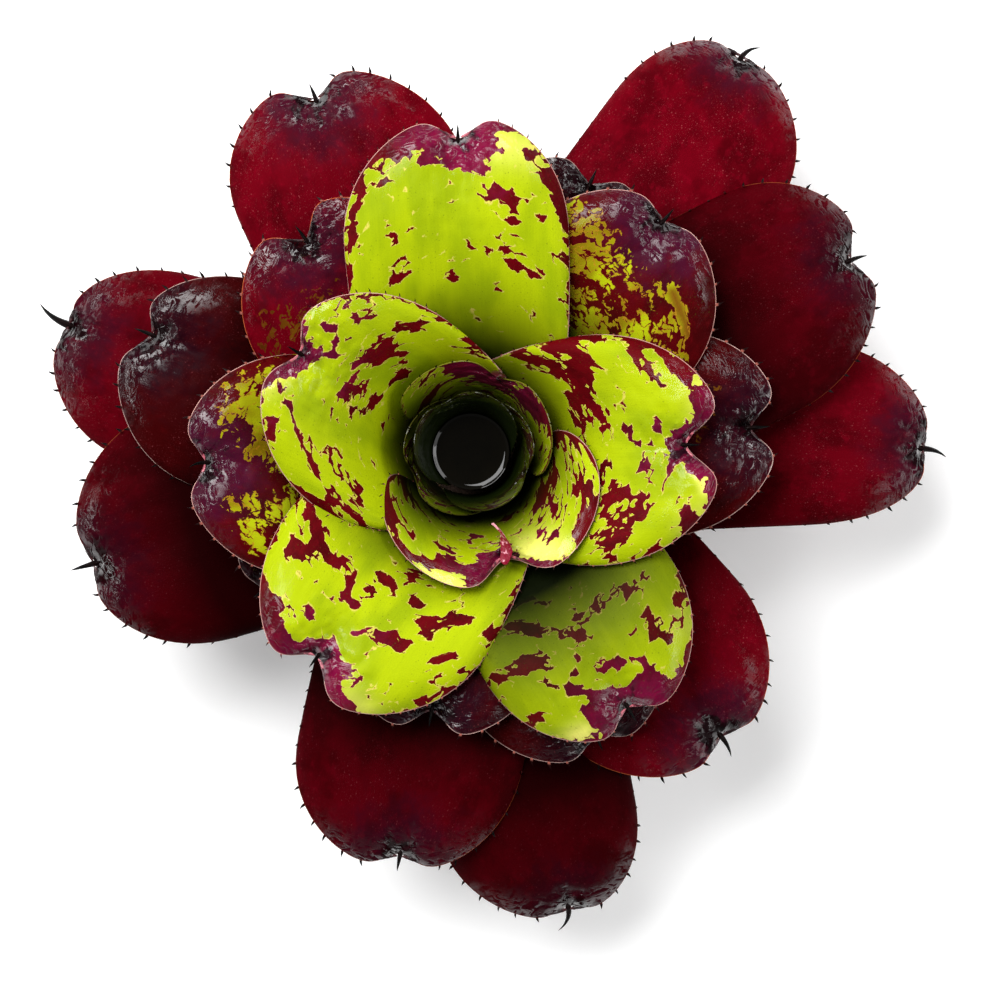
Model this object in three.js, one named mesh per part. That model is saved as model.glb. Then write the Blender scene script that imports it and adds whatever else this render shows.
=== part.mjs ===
// Neoregelia bromeliad: a rosette of broad, spiny leaves round a tank that holds water, cut off
// at the foot of its short stem and standing on the cut.
// Millimetres, +Z up, origin at the centre of the stem's cut.

import * as THREE from "three";

// Blades
const footThickness = 0.7;
const bladeThickness = 0.8;
const fullness = 0.85; // below 1, the rounded end is fuller than an ellipse
const notchSpread = 11; // degrees round the tip over which the notch fades out
const pinchSpread = 9; // degrees round the tip over which the pinched groove fades out

// Spines on the margins
const spineLength = 2.4;
const spineWidth = 1.5;
const spineSpacing = 12;
const spineLean = 0.35; // forward lean, as a share of the length
const spineStart = 0.38; // share of the leaf, from its foot, that has bare margins

// Claws at the tips
const clawKnee = 0.4; // share of the claw's length before its bend
const clawNarrowing = 0.35; // width at the bend, as a share of the width at the root

// Stem and water
const stemClearance = 0.8; // from the stem's skin to the middle of a leaf's foot
const stemCutRadius = 17;
const stemWaistRadius = 18.5;
const stemWaistHeight = 4;
const waterTop = 72;
const waterRadius = 11.1;
const waterClearance = 0.5;
const roundSides = 24;

// Side profile of the leaf fan, as [radius, height]. The rows run from the innermost leaf to the
// outermost, each from the foot of the leaf to its tip. Every leaf lies on its own curve of the
// fan, so that leaves nest and never cross.
const fan = [
  [[12.2, 58], [12.6, 82], [17, 110], [66, 128]],
  [[22.5, 59], [32, 88], [52, 136], [116, 118]],
  [[25, 10], [45, 44], [94, 98], [164, 50]],
];

// The leaves from the innermost to the outermost, following a spiral of about 137.5 degrees.
//   azimuth: heading of the tip, in degrees round the stem
//   reach: distance of the tip's lobes from the axis
//   foot, half: half widths at the foot and in the blade, measured round the stem
//   spread: share of the leaf's length over which it widens from foot to half
//   round: length of the rounded end; notch: depth of the notch in it
//   shift: how far both margins lie counter-clockwise of their place about the midrib
//   skew: how much further the counter-clockwise lobe reaches than the other
//   lift: rise of the blade above its curve; roll: rise of its counter-clockwise margin
//   droop: fall of the tip; arch: fall of both margins towards the tip
//   pinch: depth of the groove at the notch
//   claw: length of the terminal spine; heading: its turn away from the midrib, in degrees
// What a leaf doesn't state is as in the plain leaf.
const plainLeaf = { shift: 0, spread: 0.5, skew: 0, lift: 0, roll: 0, droop: 0, arch: 0, heading: 0 };
const ringGreen = { color: 0xa9bf1c, roughness: 0.42 };
const ringMixed = { color: 0x8a4a1e, roughness: 0.4 };
const ringRed = { color: 0x7d1126, roughness: 0.4 };
const leaves = [
  {
    azimuth: 118, reach: 19, foot: 20, half: 27, round: 4, notch: 1.5,
    pinch: 1, claw: 2, look: ringGreen,
  },
  {
    azimuth: 340, reach: 20.5, foot: 21, half: 28, round: 4, notch: 1.5,
    pinch: 1, claw: 2, look: ringGreen,
  },
  {
    azimuth: 203, reach: 22, foot: 22, half: 30, round: 5, notch: 2,
    pinch: 1, claw: 2, look: ringGreen,
  },
  {
    azimuth: 69, reach: 28.5, foot: 22, half: 36, spread: 1, round: 3, notch: 3, skew: 1.5,
    droop: -1, pinch: 1.5, claw: 3, look: ringGreen,
  },
  {
    azimuth: 288, shift: 1.5, reach: 45.5, foot: 23, half: 46.5, spread: 1, round: 12, notch: 9,
    skew: 3, droop: 1, pinch: 2, claw: 5, look: ringGreen,
  },
  {
    azimuth: 150.5, shift: 5.3, reach: 69.4, foot: 24.4, half: 42.4, round: 31, notch: 7, skew: 2,
    roll: -1.5, droop: 2, arch: 1, pinch: 3, claw: 4, look: ringGreen,
  },
  {
    azimuth: 1.5, shift: -1.2, reach: 80.5, foot: 25, half: 40.8, round: 34, notch: 12,
    roll: -1, droop: 3, arch: 1, pinch: 3, claw: 4, look: ringGreen,
  },
  {
    azimuth: 233.5, shift: 4.5, reach: 91.5, foot: 25, half: 42, round: 34, notch: 10, skew: 4,
    droop: 4, arch: 0.2, pinch: 3, claw: 4, look: ringGreen,
  },
  {
    azimuth: 92.3, shift: 2, reach: 106, foot: 25, half: 37, round: 32, notch: 7,
    lift: 1, roll: -1, droop: 3, arch: 2, pinch: 3, claw: 4, look: ringGreen,
  },
  {
    azimuth: 301.5, shift: 1.2, reach: 102.5, foot: 25, half: 36.8, round: 32, notch: 7,
    roll: -0.3, droop: 4, arch: 2, pinch: 3, claw: 5, look: ringGreen,
  },
  {
    azimuth: 182.6, shift: 2.5, reach: 91.5, foot: 25, half: 37.5, round: 30, notch: 7,
    roll: -0.8, droop: 4, arch: 1, pinch: 3, claw: 5, heading: 20, look: ringMixed,
  },
  {
    azimuth: 50, shift: -3.5, reach: 99.5, foot: 25, half: 36, round: 30, notch: 4, skew: -1.5,
    roll: -1, droop: 3, arch: 1.5, pinch: 3, claw: 5, look: ringMixed,
  },
  {
    azimuth: 261.5, reach: 92, foot: 25, half: 36, round: 30, notch: 8,
    roll: -1, droop: 3, arch: 1.5, pinch: 2.5, claw: 5, look: ringRed,
  },
  {
    azimuth: 128, shift: 1.5, reach: 95, foot: 25, half: 36, round: 30, notch: 9, skew: 2.5,
    roll: -1.5, droop: 3, arch: 1.5, pinch: 3, claw: 5, look: ringRed,
  },
  {
    azimuth: 4.8, reach: 99, foot: 25, half: 34, round: 31, notch: 9, skew: 2,
    roll: -0.8, droop: 3, arch: 0.8, pinch: 3, claw: 6, look: ringRed,
  },
  {
    azimuth: 214, reach: 84, foot: 25, half: 34, round: 30, notch: 4,
    droop: 3, arch: 0.4, pinch: 2, claw: 4, look: ringRed,
  },
  {
    azimuth: 66, reach: 100, foot: 25, half: 34, round: 30, notch: 6,
    roll: -1, droop: 3, arch: 1, pinch: 2.5, claw: 5, look: ringRed,
  },
  {
    azimuth: 293.8, reach: 106, foot: 25, half: 36, round: 31, notch: 6,
    roll: -1.2, droop: 3, arch: 1.5, pinch: 2.5, claw: 5, look: ringRed,
  },
  {
    azimuth: 160, shift: 6.5, reach: 116.5, foot: 25, half: 36, round: 34, notch: 7, skew: 5.5,
    roll: -1.5, droop: 4, arch: 2.5, pinch: 3, claw: 6, look: ringRed,
  },
  {
    azimuth: 26.8, shift: 1, reach: 145, foot: 26, half: 37.5, round: 36, notch: 7, skew: 4.5,
    roll: -1, droop: 6, arch: 3, pinch: 3.5, claw: 7, heading: -10, look: ringRed,
  },
  {
    azimuth: 260, shift: -2.5, reach: 138, foot: 26, half: 37.3, round: 34, notch: 5, skew: -3.5,
    roll: -0.5, droop: 5, arch: 3, pinch: 3, claw: 6, look: ringRed,
  },
  {
    azimuth: 113.8, shift: 1, reach: 133, foot: 26, half: 38.5, round: 33, notch: 8, skew: 4.2,
    roll: -1.5, droop: 4, arch: 3.5, pinch: 3.5, claw: 6, look: ringRed,
  },
  {
    azimuth: 311.3, shift: -1, reach: 128, foot: 26, half: 39.5, round: 36, notch: 5,
    roll: -1.5, droop: 5, arch: 2.0, pinch: 3, claw: 8, heading: -17, look: ringRed,
  },
  {
    azimuth: 196.5, shift: -3, reach: 132, foot: 26, half: 40, round: 36, notch: 4, skew: -1.5,
    roll: -2, droop: 5, arch: 3.1, pinch: 3, claw: 9, look: ringRed,
  },
  {
    azimuth: 55.7, shift: -5, reach: 160, foot: 26, half: 33, round: 35, notch: 2, skew: -2,
    roll: -1, droop: 8, arch: 3.5, pinch: 3, claw: 9, heading: -28, look: ringRed,
  },
  {
    azimuth: 282, shift: -4, reach: 156.5, foot: 26, half: 33, round: 34, notch: 3,
    roll: -1, droop: 7, arch: 3.5, pinch: 3, claw: 9, heading: -35, look: ringRed,
  },
  {
    azimuth: 162.5, shift: 4.5, reach: 141, foot: 26, half: 32.6, round: 36, notch: 3, skew: 4,
    lift: 1, roll: -2.5, droop: 6, arch: 3.5, pinch: 3, claw: 14, heading: -20, look: ringRed,
  },
  {
    azimuth: 0.5, shift: 5.5, reach: 151.5, foot: 26, half: 30.5, round: 42, notch: 3, skew: 3,
    roll: -2, droop: 6, arch: 3.5, pinch: 3, claw: 10, heading: -20, look: ringRed,
  },
];

const rows = [0, 0.12, 0.26, 0.42, 0.6, 0.77, 0.91, 1]; // shares of the leaf's length
const columns = [-90, -70, -50, -30, -13, -5, 0, 5, 13, 30, 50, 70, 90]; // degrees round the tip

// Working accuracy
const degrees = Math.PI / 180;
const longestShare = 1.4; // beyond the end of the fan's curves, where no leaf reaches
const halvings = 40; // in the search for a leaf's end
const depthSamples = 2000; // down the feet of the fan
const shareStep = 0.01; // for slopes along a leaf and down the fan
const angleStep = 1; // for slopes across a leaf, in degrees
const tiny = 1e-9;

function mix(from, to, share) {
  return from + (to - from) * share;
}

// Point of the fan at a depth of 0 to 1, inside to outside, and a share of the curve's length.
function fanPoint(depth, share) {
  const byDepth = [(1 - depth) ** 2, 2 * depth * (1 - depth), depth ** 2];
  const rest = 1 - share;
  const byShare = [rest ** 3, 3 * share * rest ** 2, 3 * share ** 2 * rest, share ** 3];
  let radius = 0;
  let height = 0;
  fan.forEach((row, i) => {
    row.forEach((point, j) => {
      radius += byDepth[i] * byShare[j] * point[0];
      height += byDepth[i] * byShare[j] * point[1];
    });
  });
  return { radius, height };
}

// Share of the curve at which the leaf fan comes out to a radius.
function shareAtRadius(depth, radius) {
  let low = 0;
  let high = longestShare;
  for (let step = 0; step < halvings; step += 1) {
    const middle = (low + high) / 2;
    if (fanPoint(depth, middle).radius < radius) low = middle;
    else high = middle;
  }
  return (low + high) / 2;
}

// Depths that space the feet evenly down the stem.
function evenDepths(count) {
  const lengths = [0];
  let last = fanPoint(0, 0);
  for (let i = 1; i <= depthSamples; i += 1) {
    const here = fanPoint(i / depthSamples, 0);
    const gap = Math.hypot(here.radius - last.radius, here.height - last.height);
    lengths.push(lengths[i - 1] + gap);
    last = here;
  }
  const depths = [];
  for (let leaf = 0; leaf < count; leaf += 1) {
    const wanted = (lengths[depthSamples] * leaf) / (count - 1);
    depths.push(lengths.findIndex((length) => length >= wanted - tiny) / depthSamples);
  }
  return depths;
}

// Middle of the blade at a share along the leaf and an angle round its tip.
function bladePoint(leaf, depth, along, angle) {
  const turn = angle * degrees;
  const notch = leaf.notch * Math.exp(-((angle / notchSpread) ** 2));
  const rounding = leaf.round * (1 - Math.max(Math.cos(turn), 0) ** fullness);
  const end = leaf.reach - rounding - notch + leaf.skew * Math.sin(turn);
  const { radius, height } = fanPoint(depth, along * shareAtRadius(depth, end));
  const across = mix(angle / 90, Math.sin(turn), along);
  const halfWidth = mix(leaf.foot, leaf.half, THREE.MathUtils.smoothstep(along, 0, leaf.spread));
  const sideways = across * halfWidth + leaf.shift * across ** 2 * along;
  const azimuth = leaf.azimuth * degrees + sideways / radius;
  const pinch = leaf.pinch * Math.exp(-((angle / pinchSpread) ** 2)) * along ** 10;
  const margins = leaf.roll * across - leaf.arch * across ** 2;
  const rise = leaf.lift * along ** 2 + margins * along ** 3 - leaf.droop * along ** 5 - pinch;
  return new THREE.Vector3(radius * Math.cos(azimuth), radius * Math.sin(azimuth), height + rise);
}

// Upward normal of the blade, from its slopes along and across.
function bladeNormal(leaf, depth, along, angle) {
  const alongLow = Math.max(along - shareStep, 0);
  const alongHigh = Math.min(along + shareStep, 1);
  const angleLow = Math.max(angle - angleStep, -90);
  const angleHigh = Math.min(angle + angleStep, 90);
  const outward = bladePoint(leaf, depth, alongHigh, angle);
  outward.sub(bladePoint(leaf, depth, alongLow, angle));
  const sideways = bladePoint(leaf, depth, along, angleHigh);
  sideways.sub(bladePoint(leaf, depth, along, angleLow));
  return outward.cross(sideways).normalize();
}

// One leaf: two faces of the blade, walls round its edge, spines on the margins and a claw.
function leafGeometry(leaf, depth) {
  const points = [];
  const triangles = [];
  const lastRow = rows.length - 1;
  const lastColumn = columns.length - 1;
  const middle = lastColumn / 2;
  const perFace = rows.length * columns.length;
  const top = (row, column) => row * columns.length + column;
  const under = (index) => index + perFace;

  for (const side of [0.5, -0.5]) {
    for (const along of rows) {
      for (const angle of columns) {
        const thickness = mix(footThickness, bladeThickness, along);
        const normal = bladeNormal(leaf, depth, along, angle);
        points.push(bladePoint(leaf, depth, along, angle).addScaledVector(normal, side * thickness));
      }
    }
  }

  // The edge of the blade, counter-clockwise from above.
  const loop = [];
  for (let row = 0; row < lastRow; row += 1) loop.push(top(row, 0));
  for (let column = 0; column < lastColumn; column += 1) loop.push(top(lastRow, column));
  for (let row = lastRow; row > 0; row -= 1) loop.push(top(row, lastColumn));
  for (let column = lastColumn; column > 0; column -= 1) loop.push(top(0, column));

  const splits = new Map(); // points added on an edge of the upper and the lower face
  const key = (from, to) => `${from} ${to}`;
  const clawEdges = new Set([
    key(top(lastRow, middle - 1), top(lastRow, middle)),
    key(top(lastRow, middle), top(lastRow, middle + 1)),
  ]);

  const add = (point) => points.push(point) - 1;
  const lerp = (from, to, share) => points[from].clone().lerp(points[to], share);

  // Walls, with the spines raised from them.
  loop.forEach((from, place) => {
    const to = loop[(place + 1) % loop.length];
    if (clawEdges.has(key(from, to))) return;
    const length = points[from].distanceTo(points[to]);
    const fromRow = Math.floor(from / columns.length);
    const toRow = Math.floor(to / columns.length);
    const bare = rows[Math.min(fromRow, toRow)] < spineStart;
    const count = bare ? 0 : Math.round(length / spineSpacing);
    const upper = [from];
    const lower = [under(from)];
    const along = points[to].clone().sub(points[from]).normalize();
    const wallUp = points[from].clone().sub(points[under(from)]);
    const outward = along.clone().cross(wallUp).normalize();
    const lean = Math.sign(toRow - fromRow) * spineLean;
    for (let spine = 0; spine < count; spine += 1) {
      const share = (spine + 0.5) / count;
      const reach = spineWidth / 2 / length;
      const left = add(lerp(from, to, share - reach));
      const right = add(lerp(from, to, share + reach));
      const foot = add(lerp(under(from), under(to), share));
      const tip = points[left].clone().add(points[right]).add(points[foot]).divideScalar(3);
      tip.addScaledVector(outward, spineLength).addScaledVector(along, lean * spineLength);
      const apex = add(tip);
      triangles.push([left, foot, apex], [foot, right, apex], [right, left, apex]);
      upper.push(left, right);
      lower.push(foot);
    }
    upper.push(to);
    lower.push(under(to));
    for (let gap = 0; gap < lower.length - 1; gap += 1) {
      const [upperFrom, upperTo] = [upper[2 * gap], upper[2 * gap + 1]];
      const [lowerFrom, lowerTo] = [lower[gap], lower[gap + 1]];
      triangles.push([lowerFrom, lowerTo, upperTo], [lowerFrom, upperTo, upperFrom]);
    }
    splits.set(key(from, to), { upper: upper.slice(1, -1), lower: lower.slice(1, -1) });
  });

  // Faces. Diagonals are alike on both faces and mirror each other across the midrib.
  const face = (a, b, c) => {
    const corners = [a, b, c];
    let turned = 0;
    for (let i = 0; i < 3; i += 1) {
      if (splits.has(key(corners[i], corners[(i + 1) % 3]))) turned = i;
    }
    const [from, to, far] = [corners[turned], corners[(turned + 1) % 3], corners[(turned + 2) % 3]];
    const split = splits.get(key(from, to)) ?? { upper: [], lower: [] };
    const upperEdge = [from, ...split.upper, to];
    const lowerEdge = [under(from), ...split.lower, under(to)];
    for (let i = 0; i < upperEdge.length - 1; i += 1) {
      triangles.push([upperEdge[i], upperEdge[i + 1], far]);
    }
    for (let i = 0; i < lowerEdge.length - 1; i += 1) {
      triangles.push([lowerEdge[i + 1], lowerEdge[i], under(far)]);
    }
  };
  for (let row = 0; row < lastRow; row += 1) {
    for (let column = 0; column < lastColumn; column += 1) {
      const a = top(row, column);
      const b = top(row + 1, column);
      const c = top(row + 1, column + 1);
      const d = top(row, column + 1);
      if (column < middle) {
        face(a, b, d);
        face(b, c, d);
      } else {
        face(a, b, c);
        face(a, c, d);
      }
    }
  }

  // The claw: a bent, tapering hook that grows out of the notch.
  const collar = [middle - 1, middle, middle + 1].map((column) => under(top(lastRow, column)));
  collar.push(...[middle + 1, middle, middle - 1].map((column) => top(lastRow, column)));
  const root = new THREE.Vector3();
  collar.forEach((index) => root.addScaledVector(points[index], 1 / collar.length));
  const straight = bladePoint(leaf, depth, 1, 0).sub(bladePoint(leaf, depth, 0.9, 0)).normalize();
  const up = bladeNormal(leaf, depth, 1, 0);
  const knee = root.clone().addScaledVector(straight, leaf.claw * clawKnee);
  const ring = collar.map((index) => {
    const spoke = points[index].clone().sub(root);
    const height = spoke.dot(up);
    spoke.addScaledVector(up, -height).multiplyScalar(clawNarrowing).addScaledVector(up, height);
    return add(spoke.add(knee));
  });
  const bent = straight.clone().applyAxisAngle(up, leaf.heading * degrees);
  const apex = add(knee.clone().addScaledVector(bent, leaf.claw * (1 - clawKnee)));
  collar.forEach((index, place) => {
    const next = (place + 1) % collar.length;
    triangles.push([index, collar[next], ring[next]], [index, ring[next], ring[place]]);
    triangles.push([ring[place], ring[next], apex]);
  });

  const geometry = new THREE.BufferGeometry().setFromPoints(points);
  geometry.setIndex(triangles.flat());
  geometry.computeVertexNormals();
  return geometry;
}

// A profile of [radius, height] points turned round the vertical axis.
function lathe(profile) {
  const outline = profile.map(([radius, height]) => new THREE.Vector2(radius, height));
  return new THREE.LatheGeometry(outline, roundSides).rotateX(Math.PI / 2);
}

// The stem: a flat cut, a short waist, then the cone that the leaves' feet stand round.
function stemGeometry() {
  const profile = [[0, 0], [stemCutRadius, 0], [stemWaistRadius, stemWaistHeight]];
  const steps = 8;
  for (let i = 0; i <= steps; i += 1) {
    const depth = 1 - i / steps;
    const here = fanPoint(depth, 0);
    const before = fanPoint(Math.min(depth + shareStep, 1), 0);
    const after = fanPoint(Math.max(depth - shareStep, 0), 0);
    const run = new THREE.Vector2(after.radius - before.radius, after.height - before.height);
    run.setLength(stemClearance);
    profile.push([here.radius - run.y, here.height + run.x]);
  }
  const shoulder = profile[profile.length - 1];
  profile.push([0, shoulder[1]]);
  return lathe(profile);
}

// The water in the tank: a plug with a flat top, resting just above the stem's crown.
function waterGeometry() {
  const bottom = fanPoint(0, 0).height - stemClearance + waterClearance;
  const outline = [[0, bottom], [waterRadius - 1, bottom], [waterRadius, bottom + 3]];
  outline.push([waterRadius, waterTop], [0, waterTop]);
  return lathe(outline);
}

function mesh(name, geometry, look) {
  const piece = new THREE.Mesh(geometry, new THREE.MeshStandardMaterial({ metalness: 0, ...look }));
  piece.name = name;
  return piece;
}

const bromeliad = new THREE.Group();
bromeliad.add(mesh("stem", stemGeometry(), { color: 0x8b7a55, roughness: 0.85 }));
bromeliad.add(mesh("water", waterGeometry(), { color: 0x1a211c, roughness: 0.05 }));
const depths = evenDepths(leaves.length);
leaves.forEach((leaf, place) => {
  const name = `leaf_${String(place + 1).padStart(2, "0")}`;
  bromeliad.add(mesh(name, leafGeometry({ ...plainLeaf, ...leaf }, depths[place]), leaf.look));
});

export default bromeliad;
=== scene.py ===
import math
import random

import bpy
import numpy as np
from mathutils import Matrix, Vector, noise


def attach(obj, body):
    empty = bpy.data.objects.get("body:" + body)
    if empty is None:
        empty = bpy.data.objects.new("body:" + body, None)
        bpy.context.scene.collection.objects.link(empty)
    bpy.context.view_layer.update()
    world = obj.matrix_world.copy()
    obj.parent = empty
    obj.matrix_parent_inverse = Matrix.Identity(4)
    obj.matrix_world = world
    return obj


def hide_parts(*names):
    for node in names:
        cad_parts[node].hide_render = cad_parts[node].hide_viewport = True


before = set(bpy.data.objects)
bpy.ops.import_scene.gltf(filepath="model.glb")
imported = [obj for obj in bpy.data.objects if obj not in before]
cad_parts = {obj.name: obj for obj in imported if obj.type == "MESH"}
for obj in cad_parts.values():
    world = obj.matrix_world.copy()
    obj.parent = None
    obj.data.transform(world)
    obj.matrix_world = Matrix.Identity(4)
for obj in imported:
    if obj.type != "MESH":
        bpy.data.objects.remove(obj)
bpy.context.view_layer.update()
mm = 0.001  # the plant is measured in millimetres and degrees, the stage in metres
print("frame loaded:", len(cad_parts), "nodes")


# Stage: floor, lights and camera

stageSetup = {
    "floorSize": 8.0,
    "floorColour": (0.93, 0.93, 0.93),
    "camera": (0.00935, -0.01567, 1.25),
    "lens": 131,
    "zenith": 0.08,
    "horizon": 0.4,
    "floorGlow": 0.21,
    "lamps": {
        "key": {"at": (-0.6, 0.72, 1.6), "size": (1.1, 1.1), "power": 48},
        "fill": {"at": (1.5, -0.3, 1.1), "size": (1.0, 1.0), "power": 8},
        "leftStrip": {"at": (-1.5, 0.1, 0.8), "size": (1.4, 0.2), "power": 8},
        "rightStrip": {"at": (1.15, 0.4, 1.25), "size": (1.2, 0.35), "power": 9},
        "backStrip": {"at": (0.3, 1.6, 1.0), "size": (1.2, 0.2), "power": 5},
    },
}


def softbox(name, at, size, power):
    lamp = bpy.data.lights.new(name, "AREA")
    lamp.shape = "RECTANGLE"
    lamp.size, lamp.size_y = size
    lamp.energy = power
    holder = bpy.data.objects.new(name, lamp)
    holder.location = at
    holder.rotation_euler = (-Vector(at)).to_track_quat("-Z", "Y").to_euler()
    bpy.context.scene.collection.objects.link(holder)


def layFloor():
    bpy.ops.object.select_all(action="DESELECT")
    bpy.ops.mesh.primitive_plane_add(size=stageSetup["floorSize"])
    floor = bpy.context.object
    floor.name = "floor"
    paper, tree, sheet = newMaterial("paper")
    sheet.inputs["Base Color"].default_value = (*stageSetup["floorColour"], 1)
    sheet.inputs["Roughness"].default_value = 0.9
    sheet.inputs["Specular IOR Level"].default_value = 0.1
    sheet.inputs["Emission Color"].default_value = (*stageSetup["floorColour"], 1)
    sheet.inputs["Emission Strength"].default_value = stageSetup["floorGlow"]
    floor.data.materials.append(paper)


def lightRoom():  # white walls all round under a dim ceiling
    world = bpy.data.worlds.new("studio")
    world.use_nodes = True
    tree = world.node_tree
    direction = addNode(tree, "TexCoord", {})
    height = addNode(tree, "SeparateXYZ", {0: direction}, output=2)
    share = remap(tree, height, 0.1, 0.75)
    zenith, horizon = stageSetup["zenith"], stageSetup["horizon"]
    room = blend(tree, share, (horizon,) * 3, (zenith,) * 3)
    tree.links.new(room, tree.nodes["Background"].inputs["Color"])
    bpy.context.scene.world = world
    for name, lamp in stageSetup["lamps"].items():
        softbox(name, **lamp)


def aimCamera():
    lens = bpy.data.cameras.new("camera")
    lens.lens = stageSetup["lens"]
    lens.sensor_width = 36
    camera = bpy.data.objects.new("camera", lens)
    camera.location = stageSetup["camera"]
    bpy.context.scene.collection.objects.link(camera)
    bpy.context.scene.camera = camera
    bpy.context.scene.view_settings.view_transform = "Standard"


# Small helpers for nodes

def newMaterial(name):
    material = bpy.data.materials.new(name)
    material.use_nodes = True
    return material, material.node_tree, material.node_tree.nodes["Principled BSDF"]


def addNode(tree, kind, inputs, output=0, **settings):
    node = tree.nodes.new("ShaderNode" + kind)
    for key, value in settings.items():
        setattr(node, key, value)
    for key, value in inputs.items():
        if isinstance(value, bpy.types.NodeSocket):
            tree.links.new(value, node.inputs[key])
        else:
            node.inputs[key].default_value = value
    return node.outputs[output]


def calculate(tree, operation, first, second=0.0, third=0.0):
    return addNode(tree, "Math", {0: first, 1: second, 2: third}, operation=operation)


def times(tree, first, second):
    return calculate(tree, "MULTIPLY", first, second)


def blend(tree, share, first, second, mode="MIX"):
    inputs = {0: share, 6: first, 7: second}
    for key in (6, 7):
        if isinstance(inputs[key], tuple):
            inputs[key] = (*inputs[key], 1)
    return addNode(tree, "Mix", inputs, output=2, data_type="RGBA", blend_type=mode)


def ease(tree, value, low, high):
    inputs = {0: value, 1: low, 2: high}
    return addNode(tree, "MapRange", inputs, interpolation_type="SMOOTHSTEP")


def remap(tree, value, low, high, first=0.0, last=1.0):
    return addNode(tree, "MapRange", {0: value, 1: low, 2: high, 3: first, 4: last})


def readAttribute(tree, name, output="Fac"):
    return addNode(tree, "Attribute", {}, output=output, attribute_name=name)


def placeOnPiece(tree):
    return addNode(tree, "TexCoord", {}, output=3)


def stretched(tree, vector, scale):
    inputs = {0: vector, 1: scale}
    return addNode(tree, "VectorMath", inputs, operation="MULTIPLY")


def grain(tree, vector, scale, detail=2.0, roughness=0.5, output="Fac"):
    inputs = {"Vector": vector, "Scale": scale, "Detail": detail, "Roughness": roughness}
    return addNode(tree, "TexNoise", inputs, output=output)


def shifted(tree, vector, push, amount):
    inputs = {0: push, 1: amount, 2: vector}
    return addNode(tree, "VectorMath", inputs, operation="MULTIPLY_ADD")


def cells(tree, vector, scale, dimensions="2D"):
    inputs = {"Vector": vector, "Scale": scale}
    return addNode(tree, "TexVoronoi", inputs, voronoi_dimensions=dimensions)


def emboss(tree, shader, height, distance, strength, sockets=("Normal",)):
    bump = addNode(tree, "Bump", {"Height": height, "Distance": distance, "Strength": strength})
    for socket in sockets:
        tree.links.new(bump, shader.inputs[socket])


layFloor()
lightRoom()
aimCamera()
print("stage set")


# Leaves: the same fan and the same leaves as the solids, at a finer grid

fan = [
    [[12.2, 58], [12.6, 82], [17, 110], [66, 128]],
    [[22.5, 59], [32, 88], [52, 136], [116, 118]],
    [[25, 10], [45, 44], [94, 98], [164, 50]],
]
blade = {
    "thickness": 0.8,
    "marginShare": 0.4,  # of the thickness that is left at the margin
    "fullness": 0.85,
    "notchSpread": 11,
    "pinchSpread": 9,
    "columns": 72,
    "rows": 92,
    "evenness": 0.55,  # 1 spaces the columns evenly, less gathers them at the midrib
    "tipward": 1.3,  # above 1 gathers the rows at the tip
    "patternStep": (97, 13.7),  # how far the patterns move on from leaf to leaf
    "relief": {
        "swell": 0.7, "swellScale": 0.04, "lobeAngle": 26, "lobeWidth": 15,
        "pleatScale": 0.3, "pleatReach": 45, "knot": 2.4, "knotReach": 6, "pucker": 0.9, "puckerReach": 16,
        "collar": 0.9, "collarAt": 4.5, "collarWidth": 2.2,
    },
}
plainLeaf = {
    "shift": 0, "foot": 25, "spread": 0.5, "skew": 0, "lift": 0,
    "roll": 0, "droop": 0, "arch": 0, "pinch": 3, "heading": 0,
}


def leafOf(azimuth, reach, half, rounding, notch, **rest):
    main = {"azimuth": azimuth, "reach": reach, "half": half, "round": rounding, "notch": notch}
    return {**plainLeaf, **main, **rest}


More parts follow.
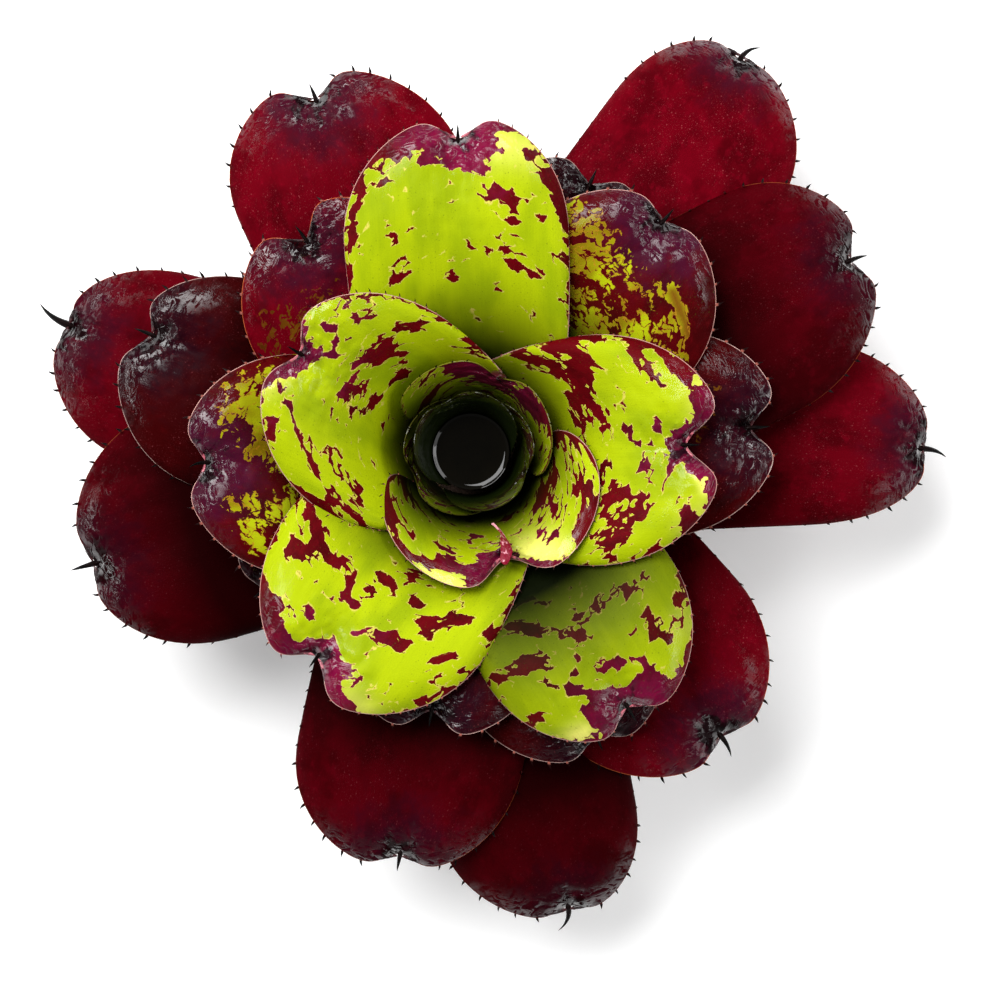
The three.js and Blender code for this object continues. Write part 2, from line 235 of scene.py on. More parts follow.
leafShapes = [
    leafOf(118, 19, 27, 4, 1.5, foot=20, pinch=1, claw=2),
    leafOf(340, 20.5, 28, 4, 1.5, foot=21, pinch=1, claw=2),
    leafOf(203, 22, 30, 5, 2, foot=22, pinch=1, claw=2),
    leafOf(69, 28.5, 36, 3, 3, foot=22, spread=1, skew=1.5, droop=-1, pinch=1.5, claw=3),
    leafOf(288, 45.5, 46.5, 12, 9, shift=1.5, foot=23, spread=1, skew=3, droop=1, pinch=2, claw=5),
    leafOf(150.5, 69.4, 42.4, 31, 7, shift=5.3, foot=24.4, skew=2, roll=-1.5, droop=2, arch=1, claw=4),
    leafOf(1.5, 80.5, 40.8, 34, 12, shift=-1.2, roll=-1, droop=3, arch=1, claw=4),
    leafOf(233.5, 91.5, 42, 34, 10, shift=4.5, skew=4, droop=4, arch=0.2, claw=4),
    leafOf(92.3, 106, 37, 32, 7, shift=2, lift=1, roll=-1, droop=3, arch=2, claw=4),
    leafOf(301.5, 102.5, 36.8, 32, 7, shift=1.2, roll=-0.3, droop=4, arch=2, claw=5),
    leafOf(182.6, 91.5, 37.5, 30, 7, shift=2.5, roll=-0.8, droop=4, arch=1, claw=5, heading=20),
    leafOf(50, 99.5, 36, 30, 4, shift=-3.5, skew=-1.5, roll=-1, droop=3, arch=1.5, claw=5),
    leafOf(261.5, 92, 36, 30, 8, roll=-1, droop=3, arch=1.5, pinch=2.5, claw=5),
    leafOf(128, 95, 36, 30, 9, shift=1.5, skew=2.5, roll=-1.5, droop=3, arch=1.5, claw=5),
    leafOf(4.8, 99, 34, 31, 9, skew=2, roll=-0.8, droop=3, arch=0.8, claw=6),
    leafOf(214, 84, 34, 30, 4, droop=3, arch=0.4, pinch=2, claw=4),
    leafOf(66, 100, 34, 30, 6, roll=-1, droop=3, arch=1, pinch=2.5, claw=5),
    leafOf(293.8, 106, 36, 31, 6, roll=-1.2, droop=3, arch=1.5, pinch=2.5, claw=5),
    leafOf(160, 116.5, 36, 34, 7, shift=6.5, skew=5.5, roll=-1.5, droop=4, arch=2.5, claw=6),
    leafOf(26.8, 145, 37.5, 36, 7, shift=1, foot=26, skew=4.5, roll=-1, droop=6, arch=3, pinch=3.5,
           claw=7, heading=-10),
    leafOf(260, 138, 37.3, 34, 5, shift=-2.5, foot=26, skew=-3.5, roll=-0.5, droop=5, arch=3, claw=6),
    leafOf(113.8, 133, 38.5, 33, 8, shift=1, foot=26, skew=4.2, roll=-1.5, droop=4, arch=3.5, pinch=3.5,
           claw=6),
    leafOf(311.3, 128, 39.5, 36, 5, shift=-1, foot=26, roll=-1.5, droop=5, arch=2.0, claw=8, heading=-17),
    leafOf(196.5, 132, 40, 36, 4, shift=-3, foot=26, skew=-1.5, roll=-2, droop=5, arch=3.1, claw=9),
    leafOf(55.7, 160, 33, 35, 2, shift=-5, foot=26, skew=-2, roll=-1, droop=8, arch=3.5, claw=9,
           heading=-28),
    leafOf(282, 156.5, 33, 34, 3, shift=-4, foot=26, roll=-1, droop=7, arch=3.5, claw=9, heading=-35),
    leafOf(162.5, 141, 32.6, 36, 3, shift=4.5, foot=26, skew=4, lift=1, roll=-2.5, droop=6, arch=3.5,
           claw=14, heading=-20),
    leafOf(0.5, 151.5, 30.5, 42, 3, shift=5.5, foot=26, skew=3, roll=-2, droop=6, arch=3.5, claw=10,
           heading=-20),
]
upTo = {"tank": 4, "lime": 10, "mixed": 12, "dusk": 19}  # leaves of each kind, counted outwards


def mix(low, high, share):
    return low + (high - low) * share


def smooth(value, low, high):
    share = np.clip((value - low) / (high - low), 0, 1)
    return share * share * (3 - 2 * share)


def hump(distance, width):
    return np.exp(-((distance / width) ** 2))


def lengthsAlong(path):
    return np.concatenate([[0], np.cumsum(np.linalg.norm(np.diff(path, axis=0), axis=1))])


def pointAt(at, lengths, path):
    return Vector([np.interp(at, lengths, path[:, i]) for i in range(3)])


def fanPoint(depth, share):
    byDepth = [(1 - depth) ** 2, 2 * depth * (1 - depth), depth ** 2]
    rest = 1 - share
    byShare = [rest ** 3, 3 * share * rest ** 2, 3 * share ** 2 * rest, share ** 3]
    radius = sum(byDepth[i] * byShare[j] * fan[i][j][0] for i in range(3) for j in range(4))
    height = sum(byDepth[i] * byShare[j] * fan[i][j][1] for i in range(3) for j in range(4))
    return radius, height


def shareAtRadius(depth, radius):
    low = np.zeros_like(radius)
    high = np.full_like(radius, 1.4)
    for _ in range(40):
        middle = (low + high) / 2
        inside = fanPoint(depth, middle)[0] < radius
        low = np.where(inside, middle, low)
        high = np.where(inside, high, middle)
    return (low + high) / 2


def evenDepths(count):  # spaces the feet evenly down the stem
    depths = np.linspace(0, 1, 2001)
    radius, height = fanPoint(depths, 0 * depths)
    lengths = np.concatenate([[0], np.cumsum(np.hypot(np.diff(radius), np.diff(height)))])
    return np.interp(np.linspace(0, lengths[-1], count), lengths, depths)


def bladePoints(leaf, depth, along, angle):  # the middle of the blade, as an array of points
    turn = np.radians(angle)
    notch = leaf["notch"] * hump(angle, blade["notchSpread"])
    rounding = leaf["round"] * (1 - np.maximum(np.cos(turn), 0) ** blade["fullness"])
    end = leaf["reach"] - rounding - notch + leaf["skew"] * np.sin(turn)
    radius, height = fanPoint(depth, along * shareAtRadius(depth, end))
    across = mix(angle / 90, np.sin(turn), along)
    halfWidth = mix(leaf["foot"], leaf["half"], smooth(along, 0, leaf["spread"]))
    sideways = across * halfWidth + leaf["shift"] * across ** 2 * along
    azimuth = np.radians(leaf["azimuth"]) + sideways / radius
    pinch = leaf["pinch"] * hump(angle, blade["pinchSpread"]) * along ** 10
    margins = leaf["roll"] * across - leaf["arch"] * across ** 2
    rise = leaf["lift"] * along ** 2 + margins * along ** 3 - leaf["droop"] * along ** 5 - pinch
    return np.stack([radius * np.cos(azimuth), radius * np.sin(azimuth), height + rise], -1), sideways


def newSphere(name, sides, rings):
    bpy.ops.object.select_all(action="DESELECT")
    bpy.ops.mesh.primitive_uv_sphere_add(segments=sides, ring_count=rings, radius=1)
    piece = bpy.context.object
    piece.name = piece.data.name = name
    return piece


def pointsOf(piece):
    flat = np.empty(len(piece.data.vertices) * 3)
    piece.data.vertices.foreach_get("co", flat)
    return flat.reshape(-1, 3)


def movePoints(piece, points):
    piece.data.vertices.foreach_set("co", (points * mm).ravel())
    piece.data.update()


def gridPiece(name, columns, rows, place):  # a grid whose points are put in place by a formula
    bpy.ops.object.select_all(action="DESELECT")
    bpy.ops.mesh.primitive_grid_add(x_subdivisions=columns, y_subdivisions=rows, size=2)
    piece = bpy.context.object
    piece.name = piece.data.name = name
    u, v = pointsOf(piece)[:, :2].T
    movePoints(piece, place(u, (v + 1) / 2))
    return piece


def keepValues(piece, name, values, kind="FLOAT"):
    layer = piece.data.attributes.new(name, kind, "POINT")
    layer.data.foreach_set("vector" if kind == "FLOAT_VECTOR" else "value", values.ravel())


def distanceToPath(points, path):
    best = np.full(len(points), 1e9)
    for start, stop in zip(path[:-1], path[1:]):
        run = stop - start
        share = np.clip((points - start) @ run / max(run @ run, 1e-12), 0, 1)
        best = np.minimum(best, np.linalg.norm(points - start - share[:, None] * run, axis=1))
    return best


depths = evenDepths(len(leafShapes))


def bladePiece(number, leaf):
    depth = depths[number]
    values = {}

    def place(u, v):
        angle = -90 * (blade["evenness"] * u + (1 - blade["evenness"]) * u ** 3)
        along = 1 - (1 - v) ** blade["tipward"]
        points, sideways = bladePoints(leaf, depth, along, angle)
        foot = bladePoints(leaf, depth, 0 * along, 0 * angle)[0]
        values["angle"] = angle
        values["along"] = along
        values["fromNotch"] = np.linalg.norm(points - notchPoint(leaf, depth), axis=1)
        values["edge"] = distanceToPath(points, marginPath(leaf, depth))
        length = np.linalg.norm(points - foot, axis=1)
        aside, layer = (number * step for step in blade["patternStep"])
        values["place"] = np.stack([sideways + aside, length, np.full_like(length, layer)], -1)
        values["marks"] = markDensity(leaf, points, values)
        values["paleAndHighlightShare"] = spotDensity(leaf["paleAndHighlightSpots"], points)
        values["paintedShade"] = paintedShadeOf(leaf, points, values)
        points[:, 2] += reliefOf(leaf, number, points, values)
        return points

    piece = gridPiece(f"leafBlade_{number + 1:02d}", blade["columns"], blade["rows"], place)
    for name in ("edge", "fromNotch", "along", "marks", "paleAndHighlightShare", "paintedShade"):
        keepValues(piece, name, values[name])
    keepValues(piece, "place", values["place"], "FLOAT_VECTOR")
    thicken(piece, values["edge"])
    return piece


def notchPoint(leaf, depth):
    return bladePoints(leaf, depth, np.array([1.0]), np.array([0.0]))[0][0]


def marginPath(leaf, depth):  # from one foot corner round the tip to the other
    rows = 1 - np.linspace(1, 0, 60) ** blade["tipward"]
    low, high = (bladePoints(leaf, depth, rows, np.full_like(rows, side))[0] for side in (-90, 90))
    angles = np.linspace(-90, 90, 120)
    tip = bladePoints(leaf, depth, np.ones_like(angles), angles)[0]
    return np.concatenate([low, tip, high[::-1]])


def reliefOf(leaf, number, points, values):  # height of the fine shape above the plain blade
    form = blade["relief"]
    angle, along = values["angle"], values["along"]
    edge, fromNotch = values["edge"], values["fromNotch"]
    seed = Vector((number * 31.7, number * 17.3, number * 5.1))
    swell = np.array([noise.noise(Vector(p) * form["swellScale"] + seed) for p in points])
    pleat = np.full(len(points), 0.5)
    for index in np.nonzero(fromNotch < form["pleatReach"])[0]:
        pleat[index] = noise.turbulence(Vector(points[index]) * form["pleatScale"] + seed, 3, False)
    lip = leaf["recurve"] * np.exp(-edge / leaf["lipWidth"]) * smooth(along, 0.55, 0.95)
    lobes = leaf["bulge"] * hump(np.abs(angle) - form["lobeAngle"], form["lobeWidth"]) * along ** 10
    knot = form["knot"] * (pleat - 0.45) * np.exp(-fromNotch / form["knotReach"])
    pucker = form["pucker"] * (pleat - 0.5) * np.exp(-fromNotch / form["puckerReach"])
    collar = form["collar"] * hump(fromNotch - form["collarAt"], form["collarWidth"])
    return form["swell"] * swell * along + lobes - lip + (knot + pucker) + collar


def spotDensity(spots, points):  # each spot: from a point to a point in plan, half width, strength
    total = np.zeros(len(points))
    for x0, y0, x1, y1, width, strength in spots:
        start, run = np.array([x0, y0]), np.array([x1 - x0, y1 - y0])
        away = points[:, :2] - start
        share = np.clip(away @ run / max(run @ run, 1e-9), 0, 1)
        away = np.linalg.norm(away - share[:, None] * run, axis=1)
        total = total + strength * hump(away, width)
    return total


def markDensity(leaf, points, values):
    density = leaf["marks"] + leaf["rim"] * np.exp(-values["edge"] / 1.8)
    density = density + leaf["capStrength"] * np.exp(-((values["fromNotch"] / leaf["cap"]) ** 4))
    return np.clip(density + spotDensity(leaf["spots"], points), -0.5, 1.6)


def paintedShadeOf(leaf, points, values):  # painted shade: 1 deep in the tank and under the leaf above
    radius = np.hypot(points[:, 0], points[:, 1])
    start, stop = leaf["paintedShade"]
    return np.clip(1 - smooth(radius, start, stop) + leaf["shade"], 0, 1)


def thicken(piece, edge):
    group = piece.vertex_groups.new(name="fleshy")
    share = mix(blade["marginShare"], 1, smooth(edge, 0, 6))
    for index, weight in enumerate(share):
        group.add([index], float(weight), "REPLACE")
    wall = piece.modifiers.new("wall", "SOLIDIFY")
    wall.thickness = blade["thickness"] * mm
    wall.offset = 0
    wall.vertex_group = "fleshy"
    wall.material_offset = 1
    bpy.context.view_layer.objects.active = piece
    bpy.ops.object.modifier_apply(modifier="wall")


# Horns: spines and claws, each a sphere drawn out along a curve

spines = {
    "length": 2.5, "smallLength": 1.5, "spacing": 6.8, "smallSpacing": 5.0,
    "start": 0.3,  # share of the leaf's length where the first one stands
    "clear": 9,  # degrees from the midrib that stay bare beside the claw
    "halfWidth": 0.27, "halfDepth": 0.14, "sunk": 0.12, "lean": 0.12, "hook": 0.3,  # shares of its length
    "sides": 6, "rings": 5,
    "paleUpTo": 18,
}
claws = {
    "width": 0.55, "widening": 0.075, "sunk": 2.5, "depth": 0.75, "keel": 0.35,
    "sides": 10, "rings": 14,
}
knots = {"size": 0.5, "sizePerClaw": 0.06, "sunk": 0.6, "sides": 8, "rings": 12, "pinkUpTo": 11}


def hornPiece(name, sides, rings, shape):  # shape gives the place for a share and two offsets
    piece = newSphere(name, sides, rings)
    shares = []
    for vertex in piece.data.vertices:
        share = (vertex.co.z + 1) / 2
        waist = max(math.sqrt(max(1 - vertex.co.z ** 2, 0)), 1e-6)
        vertex.co = Vector(shape(share, vertex.co.x / waist, vertex.co.y / waist)) * mm
        shares.append(share)
    keepValues(piece, "thorn", np.array(shares))
    return piece


def thornShape(share, x, y):
    taper = (1 - share) ** 0.8 * min(share * 8, 1)
    forward = spines["lean"] * share + spines["hook"] * share ** 2
    aside, deep = spines["halfWidth"], spines["halfDepth"]
    return (x * aside * taper + forward, share - spines["sunk"], y * deep * taper)


def plantSpines(number, leaf, form, draw):
    depth = depths[number]
    small = number < upTo["lime"]
    length = spines["smallLength" if small else "length"]
    spacing = spines["smallSpacing" if small else "spacing"]
    thorns = []
    for side in (-1, 1):
        rows = np.linspace(spines["start"], 1, 80)
        angles = np.linspace(90, spines["clear"], 60)[1:]
        along = np.concatenate([rows, np.ones_like(angles)])
        angle = side * np.concatenate([np.full_like(rows, 90), angles])
        path = bladePoints(leaf, depth, along, angle)[0]
        inner = bladePoints(leaf, depth, along - 0.01, angle * 0.99)[0]
        lengths = lengthsAlong(path)
        at = spacing * draw.uniform(0.3, 0.7)
        while at < lengths[-1] - spacing * 0.4:
            root = pointAt(at, lengths, path)
            ahead = pointAt(at + 0.6, lengths, path)
            within = pointAt(at, lengths, inner)
            forward = (ahead - root).normalized()
            outward = root - within
            outward = (outward - forward * outward.dot(forward)).normalized()
            size = length * draw.uniform(0.8, 1.15)
            turn = Matrix((forward, outward, forward.cross(outward))).transposed()
            thorn = form.copy()
            thorn.data = form.data.copy()
            thorn.data.transform(Matrix.Translation(root * mm) @ turn.to_4x4() @ Matrix.Scale(size, 4))
            bpy.context.scene.collection.objects.link(thorn)
            thorns.append(thorn)
            at += spacing * draw.uniform(0.8, 1.2)
    return thorns


def clawFrame(leaf, depth):
    root = Vector(notchPoint(leaf, depth))
    back = Vector(bladePoints(leaf, depth, np.array([0.96]), np.array([0.0]))[0][0])
    left = Vector(bladePoints(leaf, depth, np.array([1.0]), np.array([2.0]))[0][0])
    ahead = (root - back).normalized()
    up = ahead.cross(left - root).normalized()
    return root, ahead, up.cross(ahead), up


def clawPiece(number, leaf):
    root, ahead, aside, up = clawFrame(leaf, depths[number])
    length = leaf["claw"]
    width = claws["width"] + claws["widening"] * length
    lean = math.tan(math.radians(leaf["heading"]))

    def shape(share, x, y):
        out = -claws["sunk"] + share * (length + claws["sunk"])
        free = max(out, 0) / length
        taper = (1 - share) ** 0.75 * min(share * 7, 1)
        bend = lean * free ** 2 * length * 0.8
        rise = 0.4 * length * free * (1 - 0.75 * free) + 0.3
        keel = claws["keel"] * taper * width * max(y, 0) ** 3
        sideways = aside * (width * taper * x + bend)
        return root + ahead * out + sideways + up * (width * taper * claws["depth"] * y + keel + rise)

    return hornPiece(f"claw_{number + 1:02d}", claws["sides"], claws["rings"], shape)


def knotPiece(number, leaf, side):  # a dried fold of the margin, curled in beside the claw
    depth = depths[number]
    root, ahead, aside, up = clawFrame(leaf, depth)
    size = knots["size"] + knots["sizePerClaw"] * leaf["claw"]
    shares = np.linspace(0, 1, 30)
    path = bladePoints(leaf, depth, np.ones_like(shares), side * mix(leaf["knot"], 1.0, shares))[0]

    def shape(share, x, y):
        core = pointAt(share, shares, path)
        taper = math.sin(math.pi * min(max(share, 0.0), 1.0)) ** 0.6
        thick = size * (0.35 + 0.65 * share) * taper
        lump = noise.noise(Vector((share * 6 + number, x * 1.5, y * 1.5 + side))) * 0.5 * thick
        lift = 0.35 + 0.9 * share ** 2
        return core - ahead * knots["sunk"] + (ahead * x + up * y * 0.8) * (thick + lump) + up * lift

    return hornPiece(f"knot_{number + 1:02d}_{side}", knots["sides"], knots["rings"], shape)


# Flaps: the soft tips of the two leaves round the tank, turned back over the water

flaps = {
    3: {"skin": "pinkFold", "length": 9, "width": 3.0, "rise": -5.0, "twist": 55, "sway": 1.5},
    4: {"skin": "flapSkin", "length": 13.5, "width": 3.2, "rise": 4.5, "twist": 110, "sway": 2.5},
}
plainFlap = {"thickness": 0.4, "sides": 28, "rings": 30}


def flapPiece(number, leaf):
    flap = {**plainFlap, **flaps[number]}
    root, ahead, aside, up = clawFrame(leaf, depths[number])

    def shape(share, x, y):
        back = flap["length"] * share - 2.0
        half = flap["width"] * min(share * 4 + 0.3, 1) * (1 - share) ** 0.7
        turn = math.radians(flap["twist"]) * share
        flat = aside * math.cos(turn) + up * math.sin(turn)
        face = up * math.cos(turn) - aside * math.sin(turn)
        frill = 0.35 * math.sin(9 * share + 3 * x) * abs(x)
        curl = 1.1 * x * x * (1 - share) + frill
        rise = flap["rise"] * math.sin(1.9 * share) + 0.6
        sway = aside * flap["sway"] * math.sin(3 * share)
        middle = root - ahead * back + up * rise + sway
        return middle + flat * (half * x) + face * (flap["thickness"] * y + curl)

    return hornPiece(f"flap_{number + 1:02d}", flap["sides"], flap["rings"], shape)


# Skins

limeSkin = {
    "ground": (0.34, 0.425, 0.002),
    "deep": (0.235, 0.315, 0.002),
    # pale skin, also used as painted highlights on some lobes
    "pale": (0.74, 0.72, 0.14),
    "mark": (0.097, 0.0003, 0.0025),
    "markTip": (0.15, 0.0008, 0.024),
    "softness": 0.012,
    "ragged": (5.0, 3.0, 0),
    "cell": 1.0,
    "fleckBar": 0.95,
    "halo": (0.62, 0.50, 0.10),
    "margin": (0.55, 0.30, 0.26),
    "speck": (0.05, 0.06, 0.004),
    "speckSize": 0.08,
    # the colour of the painted shade deep in the tank and under the leaves above
    "paintedShade": (0.0025, 0.004, 0.0006),
    # a painted purple-grey sheen standing for the reflection on the curled tips
    "paintedSheen": (0.16, 0.012, 0.07),
    "paintedSheenShare": 0.15,
    "tip": (0.016, 0.002, 0.006),
    "tipSize": 4.0,
    "shine": 0.03,
}
tankSkin = {
    **limeSkin,
    "deep": (0.20, 0.27, 0.002),
    "paintedShade": (0.004, 0.007, 0.0008),
    # a dark margin: painted shade deep in the tank
    "margin": (0.14, 0.13, 0.01),
    "tipSize": 0.0,
}
mixedSkin = {
    **limeSkin,
    "ground": (0.33, 0.38, 0.003),
    "deep": (0.18, 0.12, 0.002),
    "pale": (0.13, 0.04, 0.003),
    "mark": (0.066, 0.0004, 0.0015),
    "markTip": (0.045, 0.0012, 0.009),
    "softness": 0.03,
    "ragged": (8.0, 6.0, 0),
    "cell": 1.25,
    "fleckBar": 0.9,
    "halo": (0.34, 0.16, 0.01),
    "paintedSheen": (0.05, 0.006, 0.026),
    "paintedSheenShare": 0.4,
    "tip": (0.007, 0.002, 0.003),
    "tipSize": 6.0,
    "shine": 0.02,
}
duskSkin = {
    **mixedSkin,
    "ground": (0.14, 0.055, 0.003),
    "deep": (0.06, 0.014, 0.001),
    "mark": (0.046, 0.0002, 0.0008),
    "margin": (0.60, 0.38, 0.34),
    "markTip": (0.010, 0.0004, 0.002),
    "halo": (0.10, 0.02, 0.003),
    "speck": (0.32, 0.06, 0.07),
    "speckSize": 0.08,
    # the colour of the painted shade
    "paintedShade": (0.003, 0.0003, 0.0004),
    "paintedSheen": (0.026, 0.004, 0.012),
    "paintedSheenShare": 0.4,
    "shine": 0.015,
}
wineSkin = {
    **duskSkin,
    "mark": (0.105, 0.0003, 0.004),
    "markTip": (0.040, 0.0006, 0.005),
    # painted glow: the orange-red margin stands for light through the thin edge
    "margin": (0.42, 0.09, 0.03),
    # the colour of the painted shade
    "paintedShade": (0.010, 0.0002, 0.0005),
    "paintedSheen": (0.045, 0.008, 0.022),
    "paintedSheenShare": 0.35,
    "tipSize": 7.0,
    "shine": 0.005,
}


gloss = {
    "bandAlong": (34.0, 17.0),  # from the notch, the band beside the margin: none, full
    "bandInward": (13.0, 3.0),  # the same from the margin inwards
    "tip": (13.0, 6.0),  # the whole tip, from the notch
    "onRidges": (0.15, 0.85),
    "bare": 0.45,  # strength where the tip isn't crumpled
    "roughness": 0.1,
    "ior": 1.5,
    "ridgeHeight": 0.055,
}


def markPattern(tree, place, density, look):
    # the gaps between rounded cells, wider than long, gathered in clusters
    ragged = grain(tree, place, 0.3, 3.0, 0.55, "Color")
    ragged = addNode(tree, "VectorMath", {0: ragged, 1: (-0.5, -0.5, 0)}, operation="ADD")
    ragged = shifted(tree, place, ragged, look["ragged"])
    gaps = remap(tree, cells(tree, stretched(tree, ragged, (0.15, 0.27, 1)), look["cell"]), 0.1, 0.85)
    clusters = grain(tree, stretched(tree, ragged, (0.09, 0.16, 1)), 1.0, 2.0)
    clusters = remap(tree, clusters, 0.3, 0.7)
    level = calculate(tree, "MULTIPLY_ADD", gaps, 0.62, times(tree, clusters, 0.38))
    excess = calculate(tree, "SUBTRACT", calculate(tree, "ADD", level, density), 1.0)

    # flecks between them, from smaller cells
    flecks = remap(tree, cells(tree, stretched(tree, ragged, (0.34, 0.62, 1)), look["cell"]), 0.1, 0.85)
    flecks = calculate(tree, "MULTIPLY_ADD", flecks, 0.5, times(tree, clusters, 0.42))
    flecks = calculate(tree, "ADD", flecks, calculate(tree, "MINIMUM", density, 0.5))
    flecks = calculate(tree, "SUBTRACT", flecks, look["fleckBar"])
    excess = calculate(tree, "MAXIMUM", excess, flecks)
    marked = ease(tree, excess, -look["softness"], look["softness"])
    outer = ease(tree, excess, -look["softness"] - 0.06, -look["softness"])
    return marked, calculate(tree, "SUBTRACT", outer, marked)


def markColour(tree, place, patchy, nearTip, look):
    mark = blend(tree, nearTip, look["mark"], look["markTip"])
    darker = tuple(0.4 * c for c in look["mark"])
    patches = times(tree, ease(tree, patchy, 0.42, 0.64), 0.75)
    mark = blend(tree, patches, mark, darker)
    cloud = ease(tree, grain(tree, place, 0.32, 4.0, 0.7), 0.5, 0.72)
    brighter = (1.7 * look["mark"][0], 4 * look["mark"][1], 2.2 * look["mark"][2])
    return blend(tree, times(tree, cloud, 0.4), mark, brighter)


def addSpecks(tree, place, colour, look):  # in three sizes
    crowd = grain(tree, place, 0.11, 3.0, 0.6)
    for scale, amount in ((0.36, 0.4), (0.85, 0.4), (1.5, 0.45)):
        dots = ease(tree, cells(tree, place, scale), look["speckSize"], look["speckSize"] * 0.5)
        dots = times(tree, dots, ease(tree, crowd, 0.4, 0.58))
        colour = blend(tree, times(tree, dots, amount), colour, look["speck"])
    return colour


def addGloss(tree, shader, place, edge, reach, marked):  # returns the height of the crumpled skin
    band = ease(tree, edge, *gloss["bandInward"])
    band = times(tree, ease(tree, reach, *gloss["bandAlong"]), band)
    glossy = calculate(tree, "MAXIMUM", band, ease(tree, reach, *gloss["tip"]))
    crumpled = times(tree, glossy, marked)
    swirls = {"Vector": stretched(tree, place, (0.22, 0.6, 1)), "Scale": 1.0, "Detail": 1.5}
    swirls = addNode(tree, "TexNoise", {**swirls, "Distortion": 1.2})
    swirls = calculate(tree, "ABSOLUTE", calculate(tree, "SUBTRACT", swirls, 0.5))
    ridges = ease(tree, swirls, 0.2, 0.0)
    wet = remap(tree, grain(tree, place, 0.3, 3.0, 0.6), 0.35, 0.65, 0.5, 1.0)
    wet = times(tree, wet, ease(tree, ridges, *gloss["onRidges"]))
    wet = times(tree, crumpled, wet)
    bare = times(tree, calculate(tree, "SUBTRACT", glossy, crumpled), gloss["bare"])
    tree.links.new(calculate(tree, "MAXIMUM", wet, bare), shader.inputs["Coat Weight"])
    shader.inputs["Coat Roughness"].default_value = gloss["roughness"]
    shader.inputs["Coat IOR"].default_value = gloss["ior"]
    return times(tree, times(tree, ridges, gloss["ridgeHeight"]), crumpled)


def leafSkin(name, look):
    material, tree, shader = newMaterial(name)
    place = readAttribute(tree, "place", "Vector")
    edge = readAttribute(tree, "edge")
    fromNotch = readAttribute(tree, "fromNotch")
    density = readAttribute(tree, "marks")
    paintedShade = readAttribute(tree, "paintedShade")
    paleAndHighlightShare = readAttribute(tree, "paleAndHighlightShare")
    marked, halo = markPattern(tree, place, density, look)

    # ground
    drift = grain(tree, stretched(tree, place, (0.07, 0.035, 1)), 1.0, 3.0)
    ground = blend(tree, ease(tree, drift, 0.4, 0.65), look["ground"], look["deep"])
    # pale patches: partly the leaf's own pale skin, partly painted highlights on the lobes
    ground = blend(tree, calculate(tree, "MINIMUM", paleAndHighlightShare, 1.0), ground, look["pale"])
    ground = blend(tree, times(tree, halo, 0.8), ground, look["halo"])

    # marks over it, then veins and specks
    wander = remap(tree, grain(tree, place, 0.22, 3.0, 0.6), 0.3, 0.7, -5.0, 5.0)
    reach = calculate(tree, "ADD", fromNotch, wander)
    nearTip = ease(tree, reach, 24.0, 8.0)
    patchy = grain(tree, place, 0.075, 4.0, 0.6)
    colour = blend(tree, marked, ground, markColour(tree, place, patchy, nearTip, look))
    veins = grain(tree, stretched(tree, place, (1.6, 0.05, 1)), 1.0, 2.0)
    colour = blend(tree, 1.0, colour, remap(tree, veins, 0.3, 0.7, 0.97, 1.02), "MULTIPLY")
    colour = addSpecks(tree, place, colour, look)

    # tip: a painted grey sheen standing for the reflection on the curled tip, then the dried dark end
    paintedSheen = times(tree, ease(tree, reach, 30.0, 9.0), marked)
    colour = blend(tree, times(tree, paintedSheen, look["paintedSheenShare"]), colour, look["paintedSheen"])
    dried = ease(tree, reach, look["tipSize"] + 2.0, look["tipSize"] - 2.5)
    colour = blend(tree, times(tree, dried, marked), colour, look["tip"])
    # the margin line; on the wine leaves its orange-red is a painted glow of light through the thin edge
    colour = blend(tree, ease(tree, edge, 0.3, 0.06), colour, look["margin"])
    # painted shade: the colour darkens deep in the tank and under the leaves above
    colour = blend(tree, paintedShade, colour, look["paintedShade"])
    tree.links.new(colour, shader.inputs["Base Color"])

    # surface: worn, with a glossy crumpled skin at the tip, veins and pores all over
    shader.inputs["Specular IOR Level"].default_value = look["shine"]
    wear = remap(tree, patchy, 0.3, 0.7, 0.45, 0.6)
    tree.links.new(remap(tree, nearTip, 0.0, 1.0, wear, 0.35), shader.inputs["Roughness"])
    crinkle = addGloss(tree, shader, place, edge, reach, marked)
    pores = grain(tree, place, 2.2, 2.0)
    height = calculate(tree, "MULTIPLY_ADD", pores, 0.04, crinkle)
    height = calculate(tree, "MULTIPLY_ADD", veins, 0.03, height)
    emboss(tree, shader, height, 0.0016, 1.0, ("Normal", "Coat Normal"))
    return material


underSkin = {
    "skin": (0.10, 0.022, 0.018),
    "green": (0.13, 0.15, 0.02),
    "foot": (0.34, 0.32, 0.16),
    "scurf": (0.32, 0.27, 0.24),
    "margin": (0.4, 0.16, 0.12),
}


def leafUnderside(name, base):
    material, tree, shader = newMaterial(name)
    place = readAttribute(tree, "place", "Vector")
    edge = readAttribute(tree, "edge")
    along = readAttribute(tree, "along")
    drift = grain(tree, stretched(tree, place, (0.05, 0.03, 1)), 1.0, 3.0)
    colour = blend(tree, ease(tree, drift, 0.35, 0.65), base, tuple(0.5 * c for c in base))
    colour = blend(tree, ease(tree, along, 0.45, 0.1), colour, underSkin["foot"])
    wavy = shifted(tree, place, grain(tree, place, 0.12, 2.0, 0.5, "Color"), (0, 5, 0))
    bands = grain(tree, stretched(tree, wavy, (0.06, 0.45, 1)), 1.0, 3.0, 0.6)
    scurf = times(tree, ease(tree, bands, 0.5, 0.68), 0.55)
    colour = blend(tree, scurf, colour, underSkin["scurf"])
    colour = blend(tree, ease(tree, edge, 0.42, 0.2), colour, underSkin["margin"])
    tree.links.new(colour, shader.inputs["Base Color"])
    shader.inputs["Roughness"].default_value = 0.55
    shader.inputs["Specular IOR Level"].default_value = 0.3
    veins = grain(tree, stretched(tree, place, (1.2, 0.04, 1)), 1.0, 2.0)
    emboss(tree, shader, veins, 0.0004, 0.6)
    return material


